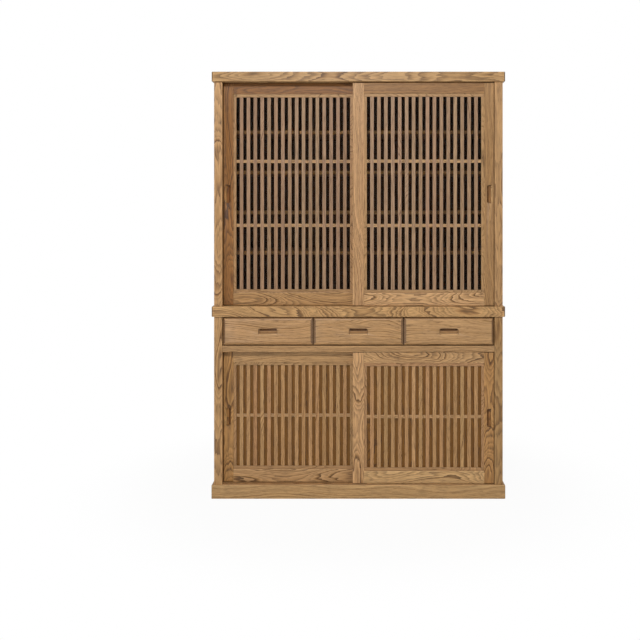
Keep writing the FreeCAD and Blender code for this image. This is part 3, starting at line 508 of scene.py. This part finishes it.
# The floor of the lower case and the rail under the drawers: ash boards with stubs at both ends, let into
# the side panels, and ploughed with the tracks that the lower doors run in.
TONGUE_THICK = 10 * MM
TRACK_FIT = 0.5 * MM
SILL_TRACK = 4 * MM
HEAD_TRACK = 14 * MM
RAIL_EASE = 1.5 * MM
RAIL_SHADE = 0.15
inner_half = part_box("lower_right_side")[0].x


def plough_tracks(piece, low_z, high_z):
    """Two grooves side by side: one for the tongues of the front door, one for those of the rear door."""
    for hand in ("left", "right"):
        face, rear = (corner.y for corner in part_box("lower_%s_door_top_rail" % hand))
        middle = (face + rear) / 2
        half = TONGUE_THICK / 2 + TRACK_FIT
        cut(piece, (-inner_half, middle - half, low_z), (inner_half, middle + half, high_z))


for node, groove in (("floor_board", "above"), ("drawer_rail", "below")):
    low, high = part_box(node)
    board = blank(node + "_ash", low, high)
    for side in (-1, 1):
        ends = sorted((side * inner_half, side * (high.x + MM)))
        cut(board, (ends[0], low.y - MM, low.z - MM), (ends[1], low.y + HOUSE_SHOULDER, high.z + MM))
    soften(board, RAIL_EASE)
    if groove == "above":
        plough_tracks(board, high.z - SILL_TRACK, high.z + MM)
    else:
        plough_tracks(board, low.z - MM, low.z + HEAD_TRACK)
    dress(board, board_ash, "level", RAIL_SHADE, BEHIND_AND_ABOVE, RIFT_SAWN)
    fit(board, "cabinet", "ash_boards", node)


# The waist board and the top board: the thickest boards, of staves glued edge to edge, with their front
# corners rounded. They are ploughed for the upper doors and housed for the upper side panels.
CORNER_RADIUS = 8 * MM
CORNER_STEPS = 6
BOARD_EASE = 1.8 * MM
STAVES = (plinth_low.y, STAVE_WIDTH)
BOLD_RING = (("#3C240F", 0.0), ("#6E4A24", 0.26), ("#AA7E4E", 0.50), ("#D0A570", 0.80), ("#B98B58", 1.0))
BOLD_WIDTH = 4.5 * MM
wide_ash = {
    "top_board": {"level": sawn("straight_ash_boards", "level", sway=0.09, stave=STAVES)},
    "waist_board": {"level": sawn("bold_ash_boards", "level", BOLD_RING, BOLD_WIDTH, 0.17, stave=STAVES)},
}

for node, groove in (("waist_board", "above"), ("top_board", "below")):
    low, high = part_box(node)
    board = blank(node + "_ash", low, high)
    pick(board, "EDGE", lambda middle: abs(middle.x) > high.x - MM and middle.y < low.y + MM)
    bpy.ops.mesh.bevel(offset=CORNER_RADIUS, segments=CORNER_STEPS, affect="EDGES")
    bpy.ops.object.mode_set(mode="OBJECT")
    if groove == "above":
        plough_tracks(board, high.z - SILL_TRACK, high.z + MM)
    else:
        plough_tracks(board, low.z - MM, low.z + HEAD_TRACK)
    for hand in ("left", "right"):
        cut(board, *housing("upper_%s_side" % hand))
    cut(board, *housing("upper_back_panel"))
    soften(board, BOARD_EASE)
    dress(board, wide_ash[node], "level", behind=None)
    fit(board, "cabinet", "ash_boards", node)


# What hides inside: the deck, guides, stretchers, cleats and plinth back are plain ash, planed and left
# without oil. The backs and the drawers' bottoms are ash plywood, whose peeled veneer shows broad, loose
# figure. The backs are oiled dark, and the shelves are paler than the rest, to keep the inside light.
PLAIN_RING = (("#9A7752", 0.0), ("#AD8961", 0.2), ("#C4A27A", 0.5), ("#CBA982", 1.0))
VENEER_RING = (("#A37F55", 0.0), ("#B48F63", 0.3), ("#C4A075", 0.7), ("#BC976C", 1.0))
SHELF_RING = (("#9A7548", 0.0), ("#BE9564", 0.2), ("#DDB585", 0.5), ("#E2BB8C", 1.0))
BACK_RING = (("#6A4A2A", 0.0), ("#775533", 0.3), ("#84603C", 0.7), ("#7D5A37", 1.0))
plain = {way: sawn("planed_ash", way, PLAIN_RING, gloss=0.6) for way in GRAIN_AXES}
veneer = sawn("ash_plywood", "level", VENEER_RING, ring_width=7 * MM, wander=6.0, gloss=0.55)
back_veneer = sawn("oiled_ash_plywood", "upright", BACK_RING, ring_width=7 * MM, wander=6.0, gloss=0.55)
shelf_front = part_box("lower_shelf")[0].y
shelf_wood = {"level": sawn("oiled_shelf_ash", "level", SHELF_RING, stave=(shelf_front, STAVE_WIDTH))}


def face_with(material, *names):
    """Gives nodes that keep their own shape the material of the real piece."""
    for name in names:
        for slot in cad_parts[name].material_slots:
            slot.material = material


face_with(plain["level"], "drawer_deck", "top_stretchers", "plinth_back")
face_with(plain["deep"], "drawer_guides", "shelf_cleats")
face_with(plain["upright"], "locating_dowels")
face_with(back_veneer, "upper_back_panel", "lower_back_panel")
face_with(shelf_wood["level"], "lower_shelf", *("upper_shelf_%d" % number for number in (1, 2, 3, 4)))


# The door frames: oiled ash stiles and rails, tenoned together, with a tongue along head and foot that runs
# in the tracks. Each pull stile has a finger recess, with a bevelled outer lip. The table says how dark each
# board is and how it was sawn: straight-grained, flat with wide rings, or flat from the brown heart.
HEAD_TONGUE = 12 * MM
SILL_TONGUE = 6.7 * MM
TENON_THICK = 8 * MM
TENON_LENGTH = 30 * MM
TENON_SHOULDER = 12 * MM
FRAME_EASE = 1.6 * MM
MOUTH_EASE = 0.6 * MM
DOOR_PULL = {"length": 80 * MM, "width": 19 * MM, "depth": 10 * MM, "hook": 8 * MM}
PULL_HEAD_RADIUS = 8 * MM
PULL_FOOT_RADIUS = 3 * MM
PULL_CORNER_STEPS = 6
PULL_LIP = 4 * MM
# Painted shade in the pulls: how much darker the floor and the hook are painted, and the darkest allowed; then the
# painted highlight on the lip.
PULL_PAINTED_SHADE = 0.45
HOOK_PAINTED_SHADE = 1.3
DEEPEST_PAINTED_SHADE = 1.35
LIP_PAINTED_HIGHLIGHT = 0.7
HOOK_INSET = 5 * MM
HOOK_SKIN = 2.5 * MM
HOOK_STEP = 6 * MM
HOOK_RISE = 4 * MM
DOOR_RING = (("#331E0A", 0.0), ("#6C4822", 0.22), ("#B58A56", 0.48), ("#D9AE7B", 0.85), ("#B28653", 1.0))
HEART_RING = (("#331C06", 0.0), ("#6C451A", 0.22), ("#B5874C", 0.48), ("#D9AA6C", 0.85), ("#B28347", 1.0))
WIDE_RING = 3.4 * MM
door_ash = {
    "straight": {way: sawn("oiled_door_ash", way, DOOR_RING) for way in ("upright", "level")},
    "wide": {way: sawn("wide_ringed_door_ash", way, DOOR_RING, WIDE_RING) for way in ("upright", "level")},
    "heart": {"upright": sawn("heart_door_ash", "upright", HEART_RING, WIDE_RING)},
}
doors = [(level, hand) for level in ("upper", "lower") for hand in ("left", "right")]
DOOR_BOARDS = {
    "upper_left_door": {"pull_stile": (1.1, "heart"), "meeting_stile": (0.4, "straight"),
                        "top_rail": (1.25, "wide"), "bottom_rail": (0.5, "wide")},
    "upper_right_door": {"pull_stile": (0.7, "straight"), "meeting_stile": (0.25, "straight"),
                         "top_rail": (0.95, "straight"), "bottom_rail": (0.1, "wide")},
    "lower_left_door": {"pull_stile": (0.55, "heart"), "meeting_stile": (0.3, "straight"),
                        "top_rail": (0.3, "straight"), "bottom_rail": (0.3, "wide")},
    "lower_right_door": {"pull_stile": (0.55, "heart"), "meeting_stile": (0.2, "wide"),
                         "top_rail": (0.3, "wide"), "bottom_rail": (0.05, "wide")},
}


def leave_tongue(piece, low, high, shoulder, beyond):
    """Cuts a rebate along the front and the back of a head or foot, so that a tongue is left between."""
    middle = (low.y + high.y) / 2
    foot, head = sorted((shoulder, beyond))
    cut(piece, (low.x - MM, low.y - MM, foot), (high.x + MM, middle - TONGUE_THICK / 2, head))
    cut(piece, (low.x - MM, middle + TONGUE_THICK / 2, foot), (high.x + MM, high.y + MM, head))


def pull_waste(length, width, depth, hook):
    """The waste blocks of a pull whose lip is its lower edge, with the middle of its mouth at the origin:
    a pocket with round upper corners, a bevel along the lip, and a hook for the fingertips at the top."""
    pocket = blank("pocket", (-length / 2, -PULL_LIP, -width / 2), (length / 2, depth, width / 2))
    for side, radius in ((-1, PULL_FOOT_RADIUS), (1, PULL_HEAD_RADIUS)):
        pick(pocket, "EDGE", lambda middle: abs(middle.x) > length / 2 - MM and side * middle.z > width / 4
             and abs(middle.y - (depth - PULL_LIP) / 2) < MM)
        bpy.ops.mesh.bevel(offset=radius, segments=PULL_CORNER_STEPS, affect="EDGES")
        bpy.ops.object.mode_set(mode="OBJECT")
    lip = blank("lip", (PULL_FOOT_RADIUS - length / 2, -PULL_LIP, -width / 2 - 2 * PULL_LIP),
                (length / 2 - PULL_FOOT_RADIUS, PULL_LIP, PULL_LIP - width / 2))
    pick(lip, "VERT", lambda co: co.y > 0 and co.z < -width / 2)
    bpy.ops.transform.translate(value=(0, 0, 2 * PULL_LIP))
    bpy.ops.object.mode_set(mode="OBJECT")
    undercut = blank("hook", (HOOK_INSET - length / 2, HOOK_SKIN, width / 2 - hook),
                     (length / 2 - HOOK_INSET, depth + HOOK_STEP, width / 2 + HOOK_RISE))
    return pocket, lip, undercut


def cut_pull(piece, place, size, turn=0.0):
    """Cuts a pull in a front face, with its lip turned from below towards one side."""
    for waste in pull_waste(**size):
        waste.data.transform(Matrix.Translation(place) @ Matrix.Rotation(turn, 4, "Y"))
        saw(piece, waste)


def paint_pull_shade(piece, place, size, turn=0.0):
    """Paints shade into a pull's recess, where little light reaches: its floor darker, and its hook and its ends
    darker still. Its lip gets a painted highlight, paler than the face."""
    back = Matrix.Rotation(-turn, 4, "Y")
    for face, mark in zip(piece.data.polygons, piece.data.attributes["shade"].data):
        spot = back @ (face.center - place)
        if abs(spot.x) > size["length"] / 2 + MM or abs(spot.z) > size["width"] or spot.y < MM / 2:
            continue
        if spot.y < PULL_LIP:
            mark.value -= LIP_PAINTED_HIGHLIGHT if spot.z < -size["width"] / 2 else 0
            continue
        hooked = spot.z > size["width"] / 2 - size["hook"] - MM / 2 or spot.y > size["depth"] + MM / 2
        ending = abs(spot.x) > size["length"] / 2 - 2 * MM
        mark.value = min(mark.value + (HOOK_PAINTED_SHADE if hooked or ending else PULL_PAINTED_SHADE), DEEPEST_PAINTED_SHADE)


def door_frame(level, hand):
    door = "%s_%s_door" % (level, hand)
    side = {"left": -1, "right": 1}[hand]
    tenons = []
    for name in ("top_rail", "bottom_rail"):
        low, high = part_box("%s_%s" % (door, name))
        body_low, body_high = low.copy(), high.copy()
        rail = blank("%s_%s_ash" % (door, name), low, high)
        if name == "top_rail":
            body_high.z -= HEAD_TONGUE
            leave_tongue(rail, low, high, body_high.z, high.z + MM)
        else:
            body_low.z += SILL_TONGUE
            leave_tongue(rail, low, high, body_low.z, low.z - MM)
        soften(rail, FRAME_EASE)
        middle = (low.y + high.y) / 2
        for end in (-1, 1):
            shoulder, tip = {-1: (low.x + TENON_LENGTH, low.x), 1: (high.x - TENON_LENGTH, high.x)}[end]
            left, right = sorted((shoulder, tip))
            tenon_low = Vector((left, middle - TENON_THICK / 2, body_low.z + TENON_SHOULDER))
            tenon_high = Vector((right, middle + TENON_THICK / 2, body_high.z - TENON_SHOULDER))
            tenons.append((tenon_low, tenon_high))
            left, right = sorted((shoulder, tip + end * MM))
            cut(rail, (left, low.y - MM, low.z - MM), (right, tenon_low.y, high.z + MM))
            cut(rail, (left, tenon_high.y, low.z - MM), (right, high.y + MM, high.z + MM))
            cut(rail, (left, low.y - MM, tenon_high.z), (right, high.y + MM, high.z + MM))
            cut(rail, (left, low.y - MM, low.z - MM), (right, high.y + MM, tenon_low.z))
        finish_frame_piece(rail, door, name, "level")
    for name in ("pull_stile", "meeting_stile"):
        low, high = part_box("%s_%s" % (door, name))
        stile = blank("%s_%s_ash" % (door, name), low, high)
        leave_tongue(stile, low, high, high.z - HEAD_TONGUE, high.z + MM)
        leave_tongue(stile, low, high, low.z + SILL_TONGUE, low.z - MM)
        soften(stile, FRAME_EASE)
        foot, head = low.z + SILL_TONGUE, high.z - HEAD_TONGUE
        place = Vector(((low.x + high.x) / 2, low.y, (foot + head) / 2))
        turn = -side * math.radians(90)
        if name == "pull_stile":
            cut_pull(stile, place, DOOR_PULL, turn)
            soften(stile, MOUTH_EASE)
        for tenon in tenons:
            cut(stile, *tenon)
        finish_frame_piece(stile, door, name, "upright")
        if name == "pull_stile":
            # Painted shade in the pull's recess, and a painted highlight on its lip.
            paint_pull_shade(stile, place, DOOR_PULL, turn)


def finish_frame_piece(piece, door, name, way):
    pane = "glass" if door.startswith("upper") else "panel"
    cut(piece, *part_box("%s_%s" % (door, pane)))
    shade, sawing = DOOR_BOARDS[door][name]
    straight = sawing == "straight"
    behind = {"upright": (1, 0.4, 0), "level": (0, 0.4, 1)}[way] if straight else (0, 1, 0)
    dress(piece, door_ash[sawing], way, shade, behind, RIFT_SAWN if straight else FLAT_SAWN)
    fit(piece, door, "ash_doors", "%s_%s" % (door, name))


for level, hand in doors:
    door_frame(level, hand)


# The lattices: a border, sixteen upright slats and one or two crossbars, all of straight-grained ash. The
# slats are notched at the back to take the crossbars, their front edges are rounded, and all is glued up.
SLATS = 16
WILD_SLATS = 3
SLAT_WIDTH = 15.8 * MM
SLAT_EASE = 1.5 * MM
SIDE_BORDER = 12.5 * MM
END_BORDER = 14.5 * MM
BAR_HEIGHT = 14 * MM
BAR_THICK = 5 * MM
# The crossbars are painted paler than the border: a painted highlight for the light they catch between the slats.
BAR_PAINTED_HIGHLIGHT = 0.4
BORDER_EASE = 0.8 * MM
BARS = {"upper": 2, "lower": 1}
SLAT_SPREAD = 0.35
LATTICE_SHADES = {("upper", "left"): 0.15, ("upper", "right"): 0.0,
                  ("lower", "left"): 0.05, ("lower", "right"): 0.0}
SLAT_RINGS = {
    "upper": (("#593C26", 0.0), ("#856447", 0.2), ("#AF8C6C", 0.5), ("#A68364", 1.0)),
    "lower": (("#5C3D1A", 0.0), ("#8C6434", 0.2), ("#C69A69", 0.5), ("#BC8F5F", 1.0)),
}
slat_ash = {level: {"upright": sawn("quartered_ash_slats_" + level, "upright", ring)}
            for level, ring in SLAT_RINGS.items()}
BORDER_RING = (("#66482A", 0.0), ("#8A673C", 0.15), ("#AE865A", 0.4), ("#B98F62", 1.0))
border_ash = {way: sawn("ash_lattice_border", way, BORDER_RING) for way in ("upright", "level")}


def copy_along(piece, shift):
    """A copy with its own mesh, shifted along X."""
    copy = piece.copy()
    copy.data = piece.data.copy()
    copy.data.transform(Matrix.Translation((shift, 0, 0)))
    scene.collection.objects.link(copy)
    return copy


def glue_up(name, members):
    """Joins finished boards into one piece, each as a closed shell of its own."""
    bpy.ops.object.select_all(action="DESELECT")
    for member in members:
        member.select_set(True)
    bpy.context.view_layer.objects.active = members[0]
    bpy.ops.object.join()
    members[0].name = name
    return members[0]


def door_lattice(level, hand):
    node = "%s_%s_door_lattice" % (level, hand)
    low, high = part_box(node)
    shade = LATTICE_SHADES[level, hand]
    inner_low = (low.x + SIDE_BORDER, low.y, low.z + END_BORDER)
    inner_high = (high.x - SIDE_BORDER, high.y, high.z - END_BORDER)
    gap = (inner_high[0] - inner_low[0] - SLATS * SLAT_WIDTH) / (SLATS + 1)
    spaces = BARS[level] + 1
    bars = []
    for number in range(1, spaces):
        middle = inner_low[2] + (inner_high[2] - inner_low[2]) * number / spaces
        bars.append(((inner_low[0], high.y - BAR_THICK, middle - BAR_HEIGHT / 2),
                     (inner_high[0], high.y, middle + BAR_HEIGHT / 2)))
    first = inner_low[0] + gap
    slat = blank("slat", (first, low.y, inner_low[2]), (first + SLAT_WIDTH, high.y, inner_high[2]))
    for bar in bars:
        cut(slat, *bar)
    soften(slat, SLAT_EASE)
    members = [slat] + [copy_along(slat, number * (SLAT_WIDTH + gap)) for number in range(1, SLATS)]
    wild = chance.sample(members, WILD_SLATS)
    for member in members:
        behind = (chance.uniform(-0.3, 0.3), 1, 0) if member in wild else (chance.choice((-1, 1)), 0.3, 0)
        dress(member, slat_ash[level], "upright", shade + chance.uniform(0, SLAT_SPREAD), behind,
              FLAT_SAWN if member in wild else RIFT_SAWN)
    borders = [
        ("level", low, (high.x, high.y, inner_low[2])),
        ("level", (low.x, low.y, inner_high[2]), high),
        ("upright", (low.x, low.y, inner_low[2]), (inner_low[0], high.y, inner_high[2])),
        ("upright", (inner_high[0], low.y, inner_low[2]), (high.x, high.y, inner_high[2])),
    ]
    for way, *corners in borders + [("level", *bar) for bar in bars]:
        member = blank("border", *corners)
        soften(member, BORDER_EASE)
        # Crossbars get the painted highlight, paler than the border.
        dress(member, border_ash, way, shade if (way, *corners) in borders else shade - BAR_PAINTED_HIGHLIGHT)
        members.append(member)
    fit(glue_up("%s_%s_lattice" % (level, hand), members), "%s_%s_door" % (level, hand), "ash_lattice", node)


for level, hand in doors:
    door_lattice(level, hand)


# Behind the lattices: bronze-tinted float glass, 3 mm thick, in the upper doors, which hides what stands
# on the shelves by day, and thin ash plywood, oiled dark brown, in the lower doors.
PANEL_RING = (("#4C300F", 0.0), ("#694512", 0.25), ("#7E5417", 0.6), ("#765015", 1.0))
panel_veneer = sawn("dark_oiled_plywood", "upright", PANEL_RING, ring_width=5 * MM, wander=4.0, gloss=0.5)
GLASS_TINT = "#B3ABA0"


def tinted_glass():
    """Clear glass with iron and selenium melted in, which makes it a warm grey-brown. Lamps shine through.
    Its IOR is below real glass, as if bloomed, so that the white studio doesn't grey the dark inside."""
    material = bpy.data.materials.new("bronze_float_glass")
    material.use_nodes = True
    tree = material.node_tree
    tree.nodes.clear()
    pane = add_node(tree, "ShaderNodeBsdfPrincipled",
                    {"Base Color": linear(GLASS_TINT), "Roughness": 0.02, "IOR": 1.14, "Transmission Weight": 1.0})
    through = add_node(tree, "ShaderNodeBsdfTransparent", {"Color": linear(GLASS_TINT)})
    ray = add_node(tree, "ShaderNodeLightPath")
    both = add_node(tree, "ShaderNodeMixShader",
                    links={0: ray.outputs["Is Shadow Ray"], 1: pane.outputs[0], 2: through.outputs[0]})
    add_node(tree, "ShaderNodeOutputMaterial", links={"Surface": both.outputs[0]})
    return material


float_glass = tinted_glass()
for hand in ("left", "right"):
    face_with(float_glass, "upper_%s_door_glass" % hand)
    face_with(panel_veneer, "lower_%s_door_panel" % hand)


# The drawers: fronts of oiled ash with a bevel planed all round and a finger recess, dovetailed to boxes
# of paulownia, the pale, light wood of Japanese drawers, with plywood bottoms.
BEVEL_WIDTH = 10 * MM
BEVEL_DEPTH = 5 * MM
FRONT_EASE = 0.8 * MM
FRONT_SPREAD = 0.2
DRAWER_PULL = {"length": 84 * MM, "width": 24 * MM, "depth": 13 * MM, "hook": 11.5 * MM}
DRAWER_RING = (("#704C26", 0.0), ("#96703F", 0.20), ("#BC9160", 0.45), ("#CCA170", 0.85), ("#B68A58", 1.0))
PAULOWNIA_RING = (("#B79A74", 0.0), ("#C6AB86", 0.3), ("#D3BA96", 0.7), ("#CFB591", 1.0))
drawer_ash = {"level": sawn("oiled_drawer_ash", "level", DRAWER_RING, wander=1.8, gloss=0.36)}
paulownia = {way: sawn("planed_paulownia", way, PAULOWNIA_RING, ring_width=5 * MM, gloss=0.62,
                       end="#9B7E58", pits="#A98B64") for way in ("level", "deep")}

for place in ("left", "centre", "right"):
    name = "drawer_" + place
    low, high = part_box(name + "_front")
    front = blank(name + "_front_ash", (low.x, low.y + BEVEL_DEPTH, low.z), high)
    pick(front, "FACE", lambda middle: middle.y < low.y + BEVEL_DEPTH + MM)
    bpy.ops.mesh.inset(thickness=BEVEL_WIDTH)
    bpy.ops.transform.translate(value=(0, -BEVEL_DEPTH, 0))
    bpy.ops.object.mode_set(mode="OBJECT")
    middle = Vector(((low.x + high.x) / 2, low.y, (low.z + high.z) / 2))
    cut_pull(front, middle, DRAWER_PULL)
    soften(front, FRONT_EASE)
    dress(front, drawer_ash, "level", chance.uniform(0, FRONT_SPREAD), (0, 1, 0.6), RIFT_SAWN)
    # Painted shade in the pull's recess, and a painted highlight on its lip.
    paint_pull_shade(front, middle, DRAWER_PULL)
    fit(front, name, "ash_drawers", name + "_front")
    face_with(paulownia["deep"], name + "_sides")
    face_with(paulownia["level"], name + "_back")
    face_with(veneer, name + "_bottom")
